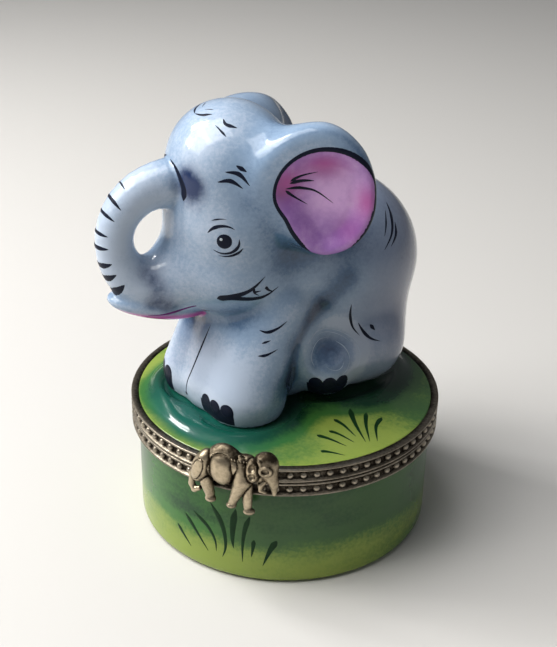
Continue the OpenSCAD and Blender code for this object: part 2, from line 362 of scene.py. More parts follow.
def charm_field(q):
    """The walking elephant on the clasp. q: across, out from the bezel, up, in millimetres."""
    q = q - np.float32([CHARM_X, 0, 0])
    body = joined(
        limb(q, (-4.6, 0.2, 26.6), (2.8, 0.2, 27.6), 2.3, 2.3),
        (egg(q, (-1.2, 0.6, 27.2), (3.6, 2.1, 4.2)), 0.8))
    barrel = egg(q, (-1.3, 1.2, 26.8), (2.45, 1.9, 3.5))
    haunch = egg(q, (-5.4, 1, 26), (1.85, 2, 3.9), turn("Y", 21))
    fold = np.abs(egg(q, (-5.7, 2.6, 25.8), (1, 2, 2.6), turn("Y", 21))) - 0.06
    haunch = soft_max(haunch, -fold, 0.15)
    rear = joined(
        limb(q, (-5, 0.9, 23.8), (-4, 0.9, 20.2), 1.35, 0.9),
        (egg(q, (-3.8, 1.1, 19.3), (1.05, 0.85, 0.7)), 0.3))
    leg = joined(
        limb(q, (2.1, 1, 28.4), (2.4, 1.5, 25), 1.15, 1.6),
        (limb(q, (2.2, 1.5, 24.6), (0.5, 1.2, 19.8), 1.45, 0.75), 0.6),
        (egg(q, (0.3, 1.3, 19.1), (0.95, 0.85, 0.6)), 0.3))
    far_leg = joined(
        limb(q, (2.9, 0.6, 23.5), (3.1, 0.7, 18.9), 1.15, 0.8),
        (egg(q, (3.4, 0.9, 18), (1.1, 0.85, 0.65)), 0.3))
    head = joined(
        egg(q, (6.3, 1, 28.5), (2.35, 1.8, 2.6)),
        (limb(q, (7, 1.3, 27), (7.8, 1.3, 24.6), 1.4, 0.85), 0.7),
        (limb(q, (7.8, 1.3, 24.6), (7.9, 1.1, 22.4), 0.8, 0.4), 0.3),
        (limb(q, (5.4, 0.8, 26.2), (5.6, 0.9, 23.6), 1.1, 0.6), 0.5))
    socket = np.hypot((q[:, 0] - 6.4) / 1.15, q[:, 2] - 28.2)
    ring = np.hypot(socket - 0.78, q[:, 1] - 2.80) - 0.26
    hollow = 0.75 - np.hypot(socket, q[:, 1] - 3.2)
    brow = limb(q, (5.3, 2.4, 30), (5.7, 2.5, 28.9), 0.35, 0.25)
    head = joined(soft_max(head, hollow, 0.3), (ring, 0.25), (brow, 0.4))
    ear = egg(q, (4.2, 1.9, 27.7), (1.2, 1.35, 2.5))
    for z in (28.7, 26.8):
        ear = soft_max(ear, -egg(q, (4.2, 3.2, z), (0.66, 0.9, 0.86)), 0.2)
    tusk = chain(q, [(6.4, 1.6, 25.4), (5.5, 1.9, 24.6), (5.6, 2.1, 23.7), (6.4, 2.2, 23.4)],
                 [0.42, 0.42, 0.38, 0.28], 0.15)
    tail = chain(q, [(-7, 0.5, 25.2), (-7.9, 0.6, 23), (-8, 0.7, 20.9), (-7.3, 0.8, 19.9),
                     (-6.3, 0.8, 20.5)], [0.7, 0.6, 0.6, 0.6, 0.5], 0.3)
    d = np.minimum(body, far_leg)
    for part in (barrel, rear, haunch, leg, head, ear):
        d = inlaid(d, part)
    d = soft_min(np.minimum(d, tusk), tail, 0.3)
    for i in range(6):
        d = np.minimum(d, ball(q, (0.7 + 0.5 * i, 2.25 - 0.04 * i, 29.5 - 0.05 * i), 0.2))
    d = soft_min(d, ball(q, (2, 1.9, 30.2), 0.38), 0.2)
    back = np.where(q[:, 2] > lid_band_low, 0.05 - q[:, 1], 0.38 - q[:, 1])
    slot = np.maximum(np.abs(q[:, 0] + CHARM_X - CATCH_X) - 0.95, q[:, 1] - 1.05)
    slot = np.maximum(slot, q[:, 2] - CATCH_Z - 1.0)
    return np.maximum(np.maximum(d, back), -slot)


def charm_to_row(q):
    """Wraps the charm's flat coordinates on the front of the bezel."""
    out = bezel_r + q[:, 1]
    angle = q[:, 0] / bezel_r
    return np.stack([out * np.sin(angle), -out * np.cos(angle), q[:, 2]], 1)


FIGURE_TURN = turn("Z", FIGURE_YAW)
FIGURE_ORIGIN = np.float32([FIGURE_AT[0], FIGURE_AT[1], ground_z])


def figure_to_row(p):
    return p @ FIGURE_TURN.T + FIGURE_ORIGIN


# ---------------- meshes
def add_object(name, data):
    obj = bpy.data.objects.new(name, data)
    bpy.context.scene.collection.objects.link(obj)
    return obj


def add_mesh(name, verts_mm, faces, material, smooth=True, values=None):
    """Makes an object from points in millimetres in the row's frame, with values at its points."""
    mesh = bpy.data.meshes.new(name)
    verts = np.asarray(verts_mm, float) * MM
    mesh.from_pydata(verts.tolist(), [], faces.tolist() if hasattr(faces, "tolist") else faces)
    mesh.polygons.foreach_set("use_smooth", [smooth] * len(mesh.polygons))
    for key, array in (values or {}).items():
        layer = mesh.attributes.new(key, "FLOAT", "POINT")
        layer.data.foreach_set("value", np.asarray(array, np.float32))
    mesh.materials.append(material)
    mesh.update()
    return add_object(name, mesh)


def ring_faces(rings, around, start=0):
    """Quads between neighbouring rings of points."""
    faces = []
    for a in range(start, start + (rings - 1) * around, around):
        for j in range(around):
            k = (j + 1) % around
            faces.append((a + j, a + k, a + around + k, a + around + j))
    return faces


def flipped(faces):
    return [(a, d, c, b) for a, b, c, d in faces]


def revolve(profile, segments):
    """Turns (radius, z) points about the z axis."""
    profile = np.asarray(profile, float)
    angle = np.linspace(0, 2 * math.pi, segments, endpoint=False)
    ring = np.stack([np.cos(angle), np.sin(angle)], 1)
    verts = np.concatenate([np.column_stack([r * ring, np.full(segments, z)]) for r, z in profile])
    return verts, ring_faces(len(profile), segments)


def ellipse(centre, rx, rz, start, end, steps=6):
    """Points on part of an ellipse, angles in degrees."""
    return [(centre[0] + rx * math.cos(a), centre[1] + rz * math.sin(a))
            for a in np.radians(np.linspace(start, end, steps))]


def arc(centre, r, start, end, steps):
    return ellipse(centre, r, r, start, end, steps)


# ---------------- node materials
class Nodes:
    """A short way to write a node tree: each call adds a node and gives back its output."""

    def __init__(self, name):
        self.material = bpy.data.materials.new(name)
        self.material.use_nodes = True
        self.tree = self.material.node_tree
        self.shader = self.tree.nodes["Principled BSDF"]

    def put(self, socket, value):
        if isinstance(value, bpy.types.NodeSocket):
            self.tree.links.new(value, socket)
        else:
            socket.default_value = value

    def attribute(self, key):
        node = self.tree.nodes.new("ShaderNodeAttribute")
        node.attribute_name = key
        return node.outputs["Fac"]

    def place(self):
        return self.tree.nodes.new("ShaderNodeTexCoord").outputs["Object"]

    def noise(self, scale, detail=4.0, rough=0.55, vector=None):
        node = self.tree.nodes.new("ShaderNodeTexNoise")
        self.put(node.inputs["Vector"], vector or self.place())
        for key, value in (("Scale", scale), ("Detail", detail), ("Roughness", rough)):
            node.inputs[key].default_value = value
        return node.outputs["Fac"]

    def math(self, operation, a, b=0.0, clamp=False):
        node = self.tree.nodes.new("ShaderNodeMath")
        node.operation = operation
        node.use_clamp = clamp
        self.put(node.inputs[0], a)
        self.put(node.inputs[1], b)
        return node.outputs[0]

    def spread(self, value, low, high, to_low=0.0, to_high=1.0):
        node = self.tree.nodes.new("ShaderNodeMapRange")
        node.interpolation_type = "SMOOTHSTEP"
        self.put(node.inputs["Value"], value)
        keys = ("From Min", "From Max", "To Min", "To Max")
        for key, end in zip(keys, (low, high, to_low, to_high)):
            node.inputs[key].default_value = end
        return node.outputs["Result"]

    def mix(self, factor, a, b):
        node = self.tree.nodes.new("ShaderNodeMix")
        node.data_type = "RGBA"
        self.put(node.inputs["Factor"], factor)
        self.put(node.inputs["A"], a if isinstance(a, bpy.types.NodeSocket) else (*a, 1))
        self.put(node.inputs["B"], b if isinstance(b, bpy.types.NodeSocket) else (*b, 1))
        return node.outputs["Result"]

    def bump(self, height, distance, strength=1.0):
        node = self.tree.nodes.new("ShaderNodeBump")
        node.inputs["Strength"].default_value = strength
        node.inputs["Distance"].default_value = distance
        self.put(node.inputs["Height"], height)
        return node.outputs["Normal"]

    def set(self, **sockets):
        for key, value in sockets.items():
            self.put(self.shader.inputs[key.replace("_", " ")], value)
        return self.material


def glaze_finish(n, colour, gloss):
    """Clear glaze over painted porcelain, with a faint ripple."""
    ripple = n.bump(n.noise(90, 2), 0.00005, 0.35)
    return n.set(Base_Color=colour, Roughness=0.26, Specular_IOR_Level=0.2, Coat_Weight=gloss,
                 Coat_Roughness=0.05, Normal=ripple)


# Blues from pale to dark; the darker end also stands for painted shade
PALE_BLUE = (0.44, 0.52, 0.64)
SKY_BLUE = (0.25, 0.35, 0.49)
STEEL_BLUE = (0.068, 0.135, 0.245)
SLATE = (0.026, 0.038, 0.075)
# Mauve-grey towards the rear: partly the paint, partly painted shade
MAUVE_GREY = (0.19, 0.18, 0.235)
NAVY = (0.006, 0.022, 0.085)
LILAC = (0.74, 0.44, 0.80)
VIOLET = (0.35, 0.17, 0.50)
MAGENTA = (0.47, 0.075, 0.33)
INK = (0.010, 0.006, 0.020)


def elephant_glaze():
    n = Nodes("elephant_glaze")
    grain = n.noise(1500, 3, 0.7)
    cloud = n.noise(75, 5, 0.6)
    swirl = n.noise(260, 6, 0.7)
    # shade holds the airbrushed blue and painted shade in creases, under the head and on the side away
    # from the light
    tone = n.math("ADD", n.attribute("shade"), n.spread(cloud, 0.3, 0.7, -0.10, 0.10))
    tone = n.math("ADD", tone, n.spread(grain, 0.25, 0.75, -0.06, 0.06), clamp=True)
    colour = n.mix(n.spread(tone, 0.0, 0.3), PALE_BLUE, SKY_BLUE)
    colour = n.mix(n.spread(tone, 0.25, 0.7), colour, STEEL_BLUE)
    colour = n.mix(n.spread(tone, 0.6, 1.05), colour, SLATE)
    # Mauve-grey towards the rear: partly the paint, partly painted shade
    colour = n.mix(n.attribute("mauve_and_shade"), colour, MAUVE_GREY)
    spot = n.math("MULTIPLY", n.attribute("blue_spot"), n.spread(cloud, 0.25, 0.75, 0.5, 1.4))
    spot = n.math("MULTIPLY", spot, n.spread(swirl, 0.25, 0.75, 0.75, 1.2))
    colour = n.mix(n.spread(spot, 0.0, 1.25), colour, NAVY)
    streak = n.math("ADD", n.attribute("ear_tone"), n.spread(swirl, 0.3, 0.7, -0.2, 0.2), clamp=True)
    pink = n.mix(streak, VIOLET, LILAC)
    pink = n.mix(n.spread(n.attribute("ear_tone"), -0.9, 0.0, 0.5, 0.0), pink, INK)
    pink = n.mix(n.attribute("ear_blush"), pink, MAGENTA)
    pink = n.mix(n.spread(swirl, 0.58, 0.78, 0, 0.3), pink, (0.66, 0.5, 0.7))
    colour = n.mix(n.spread(n.attribute("ear"), -0.05, 0.05, 1, 0), colour, pink)
    colour = n.mix(n.attribute("lip"), colour, MAGENTA)
    return glaze_finish(n, colour, 0.65)


def stroke_glaze(name, colour, gloss=0.06):
    n = Nodes(name)
    tint = n.mix(n.noise(500, 2), tuple(c * 0.6 for c in colour), tuple(c * 1.5 for c in colour))
    return n.set(Base_Color=tint, Roughness=0.45, Specular_IOR_Level=0.1, Coat_Weight=gloss,
                 Coat_Roughness=0.1)


YELLOW_GREEN = (0.25, 0.33, 0.060)
GRASS_GREEN = (0.045, 0.16, 0.030)
GREY_GREEN = (0.045, 0.095, 0.036)
DEEP_GREEN = (0.006, 0.038, 0.016)
TEAL = (0.006, 0.095, 0.070)
PORCELAIN = (0.78, 0.77, 0.72)


def green_glaze(name, stretch, gloss):
    """Brushed green. Attributes: dark from yellow-green up to deep green, in places also painted shade,
    grey and teal tints, and white where the porcelain is left bare."""
    n = Nodes(name)
    place = n.tree.nodes.new("ShaderNodeVectorMath")
    place.operation = "MULTIPLY"
    n.put(place.inputs[0], n.place())
    place.inputs[1].default_value = stretch
    streak = n.noise(100, 4, 0.6, place.outputs["Vector"])
    grain = n.noise(1500, 2, 0.6)
    tone = n.math("ADD", n.attribute("dark"), n.spread(streak, 0.3, 0.7, -0.10, 0.10))
    tone = n.math("ADD", tone, n.spread(grain, 0.25, 0.75, -0.05, 0.05), clamp=True)
    colour = n.mix(n.spread(tone, 0.0, 0.5), YELLOW_GREEN, GRASS_GREEN)
    colour = n.mix(n.math("MULTIPLY", n.attribute("grey"), n.spread(tone, 0.1, 0.5)), colour, GREY_GREEN)
    colour = n.mix(n.spread(tone, 0.55, 1.0), colour, DEEP_GREEN)
    colour = n.mix(n.attribute("teal"), colour, TEAL)
    colour = n.mix(n.spread(n.attribute("white"), 0.45, 0.55), colour, PORCELAIN)
    return glaze_finish(n, colour, gloss)


def antique_metal(name, dark, bright, scale=1.0):
    """Cast brass with an antique finish: dark in the recesses, rubbed bright on raised parts;
    on the clasp elephant the same value also carries painted shade.
    """
    n = Nodes(name)
    grit = n.noise(1800 * scale, 4, 0.7)
    patch = n.noise(150, 3)
    # Wear on raised parts, and on the clasp elephant also painted shade
    wear_and_shade_tone = n.math("ADD", n.attribute("wear_and_shade"), n.spread(grit, 0.25, 0.75, -0.22, 0.22))
    wear_and_shade_tone = n.math("ADD", wear_and_shade_tone, n.spread(patch, 0.3, 0.7, -0.15, 0.15), clamp=True)
    colour = n.mix(wear_and_shade_tone, dark, bright)
    rough = n.spread(wear_and_shade_tone, 0, 1, 0.55, 0.30)
    height = n.bump(grit, 0.00004, 0.5)
    return n.set(Base_Color=colour, Metallic=1.0, Roughness=rough, Normal=height)


# ---------------- the box
def bump_at(value, centre, width):
    return np.exp(-((value - centre) / width) ** 2)


def radius_of(verts):
    return np.hypot(verts[:, 0], verts[:, 1])


def heading_of(verts):
    """Direction from the axis in degrees: 0 at the clasp, positive towards +x."""
    return np.degrees(np.arctan2(verts[:, 0], -verts[:, 1]))


def bowl_values(verts):
    """The bowl's outside: light low down and at the far left, deeper green above, darker at the right
    edge, and painted shade on the left front.
    """
    heading = heading_of(verts)
    height = fraction(verts[:, 2] / bowl_top)
    rise = eased((height - 0.16) / 0.42)
    dark = rise * (0.52 + 0.28 * bump_at(heading, -24, 16) + 0.16 * bump_at(heading, 25, 35)
                   + 0.2 * bump_at(heading, 150, 40))
    dark = dark * (1 - 0.75 * bump_at(heading, -84, 14)) + 0.08 * bump_at(heading, 65, 28) * (1 - rise)
    # Painted shade on the left front; darker at the right edge
    dark = dark + 0.34 * bump_at(heading, -60, 16) * (0.35 + 0.65 * rise) + 0.15 * bump_at(heading, 85, 22)
    grey = 0.7 * fraction((heading + 14) / 16) * fraction((115 - heading) / 40)
    return {"dark": fraction(dark), "grey": grey, "teal": np.zeros(len(verts))}


def build_bowl():
    profile = ([(0, 0.0), (bowl_r - 6, 0.0), (bowl_r - 1.5, 0.0)]
               + arc((bowl_r - 1.5, 1.5), 1.5, -75, 0, 7)
               + [(bowl_r, z) for z in np.linspace(2.5, bowl_top - 0.3, 24)]
               + arc((bowl_r - 0.3, bowl_top - 0.3), 0.3, 0, 90, 4)
               + arc((inner_r + 0.3, bowl_top - 0.3), 0.3, 90, 180, 4)
               + [(inner_r, z) for z in np.linspace(bowl_top - 1, 7, 12)]
               + arc((inner_r - 3.0, wall + 3.0), 3.0, 0, -90, 9)
               + [(inner_r - 10, wall), (0, wall)])
    verts, faces = revolve(profile, 240)
    radius = radius_of(verts)
    inside = (verts[:, 2] > wall - 0.01) & (radius < inner_r + 1.0)
    underneath = (verts[:, 2] < 0.02) & (radius < bowl_r - 1.4)
    return add_mesh("bowl_glazed", verts, faces, green_glaze("bowl_glaze", (0.5, 0.5, 1.6), 0.25),
                    values={**bowl_values(verts), "white": inside | underneath})


# Discs under the feet and the seat, which together make the figure's footprint
GROUND_DISCS = [((13, 6), 9.0), ((13, -6), 9.0), ((-9, 0), 17.0)]


def ground_distance(x, y):
    """Distance outside the figure's footprint, in plan, on the lid."""
    q = (np.stack([x, y], 1) - FIGURE_AT) @ np.array(FIGURE_TURN)[:2, :2]
    d = np.full(len(q), 1e3)
    for centre, r in GROUND_DISCS:
        d = soft_min(d, length(q - np.array(centre)) - r, 6)
    return d


def lid_height(x, y):
    """Top of the lid: a shallow dome, with a rounded roll of raised ground round the feet."""
    r = np.hypot(x, y)
    dome = lid_band_high + (ground_z - 0.5 - lid_band_high) * (1 - fraction(r / rim_r) ** 2)
    d = ground_distance(x, y)
    heading = np.degrees(np.arctan2(x, -y))
    roll = 0.9 * bump_at(d, 1.2, 1.9) + 1.0 * bump_at(heading, -50, 34) * bump_at(r, 25.4, 1.7)
    inside = fraction(-d / 3)
    raised = (roll * (1 - inside) + inside * (ground_z - dome)) * eased((rim_r - r) / 3.0)
    return np.where(d < -3, ground_z, dome + raised)


def build_lid():
    segments = 288
    radii = np.concatenate([np.linspace(0, rim_r - 4, 52), np.linspace(rim_r - 3.6, rim_r, 12)])
    verts, faces = revolve([(r, 0) for r in radii], segments)
    verts[:, 2] = lid_height(verts[:, 0], verts[:, 1])
    top = len(verts)
    seat_z = lid_band_low + 0.6
    under_z = lid_band_low + 1.3
    under = (arc((rim_r, lid_band_high - 0.4), 0.4, 80, 0, 4)
             + [(bowl_r, lid_band_high - 1.2), (bowl_r, seat_z), (inner_r, seat_z),
                (inner_r - 0.4, under_z), (inner_r - 12, under_z), (vent_r, under_z)])
    low_verts, low_faces = revolve(under, segments)
    verts = np.concatenate([verts, low_verts])
    seam = ring_faces(2, segments, top - segments)
    faces = faces + seam + [tuple(i + top for i in f) for f in low_faces]
    radius = radius_of(verts)
    d = ground_distance(verts[:, 0], verts[:, 1])
    heading = heading_of(verts)
    # Deeper green round the feet: partly the painted ground, partly painted shadow of the figure
    dark = 0.22 + 0.8 * eased(1 - (d - 1.5) / 5.5)
    dark = dark + 0.14 * bump_at(heading, 95, 38) + 0.2 * bump_at(heading, 180, 60)
    dark = dark - 0.24 * bump_at(heading, 52, 20)
    dark = dark - 0.30 * bump_at(heading, -84, 14) * fraction((radius - 22) / 6)
    teal = bump_at(heading, -32, 40) * fraction((radius - 14) / 6) * fraction((29.5 - radius) / 2.5)
    grey = 0.8 * bump_at(heading, 100, 45)
    white = np.arange(len(verts)) >= top + 5 * segments
    return add_mesh("lid_glazed", verts, faces, green_glaze("lid_glaze", (1, 1, 1), 0.6),
                    values={"dark": fraction(dark), "teal": teal, "grey": grey, "white": white})


def bead_mesh(centre_angle, mid_z, out, r):
    """One round bead, half sunk at a distance from the axis."""
    rings, around = 6, 12
    verts = []
    for polar in np.linspace(0, 1.15 * math.pi / 2, rings):
        for a in np.linspace(0, 2 * math.pi, around, endpoint=False):
            verts.append((out + r * math.cos(polar), r * math.sin(polar) * math.cos(a),
                          mid_z + r * math.sin(polar) * math.sin(a)))
    verts = np.array(verts) @ np.array(Matrix.Rotation(centre_angle, 3, "Z")).T
    return verts, flipped(ring_faces(rings, around))


def build_band(name, low, high, lip_low, front_gap):
    """A bezel: two raised ribs with a row of beads in the channel between, and a lip inside."""
    rib = 0.5
    round_r = 0.2
    lip_high = lip_low + 0.6

    def corner(z, start, end):
        return arc((bezel_r - round_r, z), round_r, start, end, 4)

    outer = ([(bowl_r, low)] + corner(low + round_r, -90, 0) + corner(low + rib - round_r, 0, 70)
             + [(channel_r, low + rib + 0.15), (channel_r, high - rib - 0.15)]
             + corner(high - rib + round_r, -70, 0) + corner(high - round_r, 0, 90) + [(bowl_r, high)])
    if lip_low > low + 1:
        loop = outer + [(inner_r, lip_high), (inner_r, lip_low), (bowl_r, lip_low), (bowl_r, low)]
    else:
        loop = outer + [(bowl_r, lip_high), (inner_r, lip_high), (inner_r, lip_low), (bowl_r, low)]
    verts, faces = revolve(loop, 360)
    mid_z = (low + high) / 2
    for i in range(bead_count):
        a = 360 * (i + 0.5) / bead_count
        if abs(a - 270) > front_gap and abs(a - 90) > hinge_gap_deg:
            v, f = bead_mesh(math.radians(a), mid_z, channel_r - 0.05, bead_r)
            faces.extend(tuple(k + len(verts) for k in face) for face in f)
            verts = np.concatenate([verts, v])
    radius = radius_of(verts)
    wear_and_shade = fraction((radius - channel_r) / (bezel_r - channel_r))
    on_rib = np.abs(verts[:, 2] - mid_z) > (high - low) / 2 - rib - 0.01
    wear_and_shade = np.where((radius < bowl_r - 0.1) | (on_rib & (wear_and_shade > 0.6)), 0.6, wear_and_shade)
    return add_mesh(name, verts, faces, band_metal, values={"wear_and_shade": wear_and_shade})


# ---------------- painted strokes
class Brush:
    """Collects brush strokes as thin tapered ribbons that lie on a surface."""

    def __init__(self, lay, slope, press=1.0):
        self.lay = lay
        self.slope = slope
        self.press = press
        self.verts = []
        self.faces = []

    def stroke(self, points, width, head=0.25, tail=0.0, steps=22):
        """points are on the surface. The width swells near the head and tapers to the tail."""
        points = self.lay(smooth_path(points, steps))
        side = unit(np.cross(self.slope(points), np.gradient(points, axis=0)))
        t = np.linspace(0, 1, steps)
        swell = np.minimum(fraction(t / head) ** 0.6 if head else 1, 1)
        taper = tail + (1 - tail) * fraction((1 - t) / (1 - head)) ** 0.7
        half = self.press * width / 2 * np.maximum(swell * taper, 0.06)
        start = len(self.verts)
        across = (-1, -0.55, 0, 0.55, 1)
        lift = (-0.03, 0.035, 0.05, 0.035, -0.03)
        rows = self.lay(np.concatenate([points + side * (half * u)[:, None] for u in across]))
        self.verts.extend(rows + self.slope(rows) * np.repeat(lift, steps)[:, None])
        for i in range(len(across) - 1):
            for j in range(steps - 1):
                a = start + i * steps + j
                self.faces.append((a, a + 1, a + steps + 1, a + steps))

    def dot(self, centre, radius, lift=0.0):
        """A round spot of paint."""
        around = 20
        centre = self.lay([centre])
        normal = self.slope(centre)[0]
        u = np.cross(normal, (0.3, 0.2, 1.0))
        u /= np.linalg.norm(u)
        v = np.cross(normal, u)
        start = len(self.verts)
        self.verts.append(centre[0] + normal * (0.06 + lift))
        a = np.linspace(0, 2 * math.pi, around, endpoint=False)
        circle = np.cos(a)[:, None] * u + np.sin(a)[:, None] * v
        for part, h in ((0.6, 0.055), (0.9, 0.04), (1.0, -0.03)):
            row = self.lay(centre + radius * part * circle)
            self.verts.extend(row + self.slope(row) * (h + lift))
        first = start + 1
        self.faces.extend((start, first + j, first + (j + 1) % around) for j in range(around))
        self.faces.extend(flipped(ring_faces(3, around, first)))

    def finish(self, name, material, to_row=lambda p: p):
        return add_mesh(name, to_row(np.array(self.verts, np.float32)), self.faces, material)


def throw(points, towards):
    """Carries points along a direction, or each along its own, until they meet the figure."""
    p = np.float32(points)
    step = np.float32(towards)
    step = step / np.linalg.norm(step, axis=-1, keepdims=True)
    for _ in range(60):
        left = figure_field(p)
        if left.max() < 0.01:
            break
        p = p + step * np.maximum(left, 0.0)[:, None] * 0.8
    return p


# ---------------- build
green_paint = stroke_glaze("grass_paint", (0.006, 0.030, 0.008))
dark_paint = stroke_glaze("figure_paint", (0.006, 0.009, 0.022))
lip_paint = stroke_glaze("lip_paint", (0.11, 0.012, 0.13), 0.5)
# Paint for the painted highlight on each eye
glint_paint = stroke_glaze("eye_glint_paint", (0.55, 0.62, 0.68), 0.5)
pale_paint = stroke_glaze("sole_paint", (0.34, 0.41, 0.52), 0.5)
band_metal = antique_metal("band_metal", (0.032, 0.025, 0.018), (0.40, 0.35, 0.275))
charm_metal = antique_metal("charm_metal", (0.045, 0.034, 0.022), (0.58, 0.48, 0.335), 0.7)

# The toes: foot centre in plan, its radius, the toes' directions, each one's height and radius
TOES = [((13.6, 6.9), 7.9, (-16, 4, 25), 3.2, 1.5), ((13.6, -6.9), 7.9, (-8, -30, -52), 3.8, 1.6),
        ((-2.6, 12.2), 5.6, (25, 53, 81), 5, 1.5), ((-2.6, -12.2), 5.6, (-25, -53, -81), 5, 1.5)]
BROW_STROKES = [  # points (forward, up) on the side of the head, and the stroke's width
    ([(8.8, 49.9), (7.3, 49)], 0.6), ([(10.6, 48.8), (8.5, 48.5), (7, 46.7)], 0.6),
    ([(11.9, 47), (9.9, 47.3), (8, 46.1)], 0.6)]
MOUTH_STROKES = [
    ([(12, 24.6), (9.4, 25.4), (6.6, 26.6), (3.8, 29)], 1.05),
    ([(12, 24.6), (9.6, 25), (5.7, 24.6), (3.4, 25), (1, 26.3)], 0.95),
    ([(6, 26.9), (5.7, 25.9), (4.8, 25.2)], 0.42), ([(5.7, 26.1), (4.5, 26.2)], 0.36),
    ([(8.6, 25.2), (7.4, 24.9)], 0.5), ([(3.7, 26.9), (2.9, 26), (2, 25.6)], 0.45)]
EYE = (11.2, 36.4)
EYE_ARCS = [  # reach forward and up from the eye, first and last direction, width
    (2.85, 2.85, 28, 128, 0.5), (4.25, 4.1, 64, 96, 0.2), (2.5, 2.35, 168, 312, 0.45),
    (3.5, 2.9, 206, 284, 0.38)]
CROWN_STROKES = [  # points (forward, side) on top of the head, thrown down
    ([(12.4, 0.1), (11.7, 2), (10.3, 3.3)], 0.5), ([(10.8, 0.8), (9.7, 2.2)], 0.18),
    ([(9, 5.4), (8.9, 6.6), (7.3, 7.8)], 0.55), ([(10.6, 5.8), (9.5, 8.4)], 0.3)]
SIDE_STROKES = [  # points (forward, up) on the side of the body
    ([(13.6, 18.3), (12.5, 18), (10.7, 18.6), (8.9, 19.6)], 0.45), ([(13.8, 16), (12.3, 16.5)], 0.32),
    ([(14.8, 13.8), (13.5, 13.9), (11.3, 14.7)], 0.42),
    ([(-5, 19.9), (-5, 17.3), (-5.4, 15), (-6.4, 13.3)], 0.42),
    ([(-6.4, 15.8), (-7.3, 13.8), (-8.4, 12.5), (-10.1, 11.7)], 0.5), ([(-8.7, 15.1), (-9.5, 13.9)], 0.6),
    ([(-15.7, 35.4), (-14.2, 33.4), (-12.9, 31.8)], 0.32),
    ([(-17.4, 36.2), (-16.8, 34.4), (-15.2, 31.9), (-12.1, 29.5)], 0.6),
    ([(-17.1, 33.1), (-16.2, 31.3), (-14, 29.7)], 0.55)]
EAR_VEINS = [([(6.3, 2.8), (4.6, 3.5), (1.5, 4.1)], 0.5), ([(6.4, 2.4), (4, 2.6), (2.1, 2.5)], 0.55),
             ([(7.1, 1.5), (4, 1.2), (1.6, 0.5), (-1.4, -1.7)], 0.42),
             ([(7.1, 1.2), (5.7, -0.1), (3.1, -1.9)], 0.42)]
SOLE_ARCS = [  # reach from the sole's middle, first and last direction, width
    (5.4, 40, 205, 0.32), (4.7, 70, 160, 0.2), (3.6, -20, 95, 0.26), (3.3, 120, 250, 0.3),
    (2, 200, 330, 0.22)]
TRUNK_LOOP = (22.5, 34.5)  # middle of the trunk's loop, forward and up
TRUNK_RINGS = [  # direction from the loop's middle, the stroke's width and reach round the trunk
    (70, 0.25, 30), (54, 0.5, 62), (37, 0.5, 62), (13, 0.5, 56), (-5, 0.6, 60), (-27, 0.85, 62),
    (-42, 0.95, 62), (-57, 1.3, 66)]


# Darker places on the body and on the head, mostly painted shade under the chin and the ear, in hollows
# and on the rump and leg turned from the light (a minus strength lightens), and the washes of blue:
# centre, radius and strength
BODY_SHADES = [
    ((11, 14.4, 6), 4.8, 0.6), ((15, 8, 18.6), 5, 0.2), ((-20, 12, 26), 8, 0.12),
    ((-26, 4, 28), 11, 0.32), ((-12, 16, 12), 6, -0.12)]
HEAD_SHADES = [
    ((10, 10.4, 22), 4.5, 0.25), ((5.7, 14, 42), 4.5, 0.16), ((14.5, 8.5, 30), 6, 0.08),
    ((-1.5, 12, 30.5), 4.5, 0.2), ((27, 3.8, 30), 3, 0.1)]
BLUE_SPOTS = [((16, 6.8, 46), 3.2, 1.5), ((15.2, 7.8, 42.6), 2.8, 0.45), ((22.9, 3.8, 28.9), 2.7, 1),
              ((21.4, 5.2, 26.6), 2.4, 0.5), ((19.5, 6, 24.6), 2.6, 0.25), ((22.8, 4.9, 23.2), 1.9, 0.55),
              ((19.8, 5.8, 22.4), 2.2, 0.65), ((16.8, 6.2, 22.2), 1.8, 0.35)]
# Washes on the ear, pale and dark, and magenta: forward and up, squared width and height, amount
EAR_TONES = [(-1.5, 0.5, 30, 30, 1.05), (8.2, 1.8, 6, 6, -1)]
EAR_BLUSHES = [(0.5, 5.4, 12, 5, 0.85), (-7.2, -1, 4, 9, 0.8), (-4.5, -6.5, 7, 7, 0.3),
               (6.8, 2.5, 7, 7, 0.9)]
# Line of a painted shadow along the crease between the shoulder and the flank
FLANK_SHADOW_PATH = [(-3.6, 15.6, 25.4), (0.5, 12.8, 20.3), (4.3, 13, 16.3), (7, 13.6, 13.5),
                (7.9, 13.7, 8)]
TRUNK_ROOT = [(17, 1.2, 48.6), (16.4, 3.6, 47.4), (15.8, 5.4, 44.8), (15.9, 5.6, 42.4)]
LIP_LINE = [(23.5, 4.9, 20.7), (21, 5.5, 20.6), (18.4, 5.7, 20.9), (16.4, 5.9, 21.3), (14.8, 6.6, 21.9)]


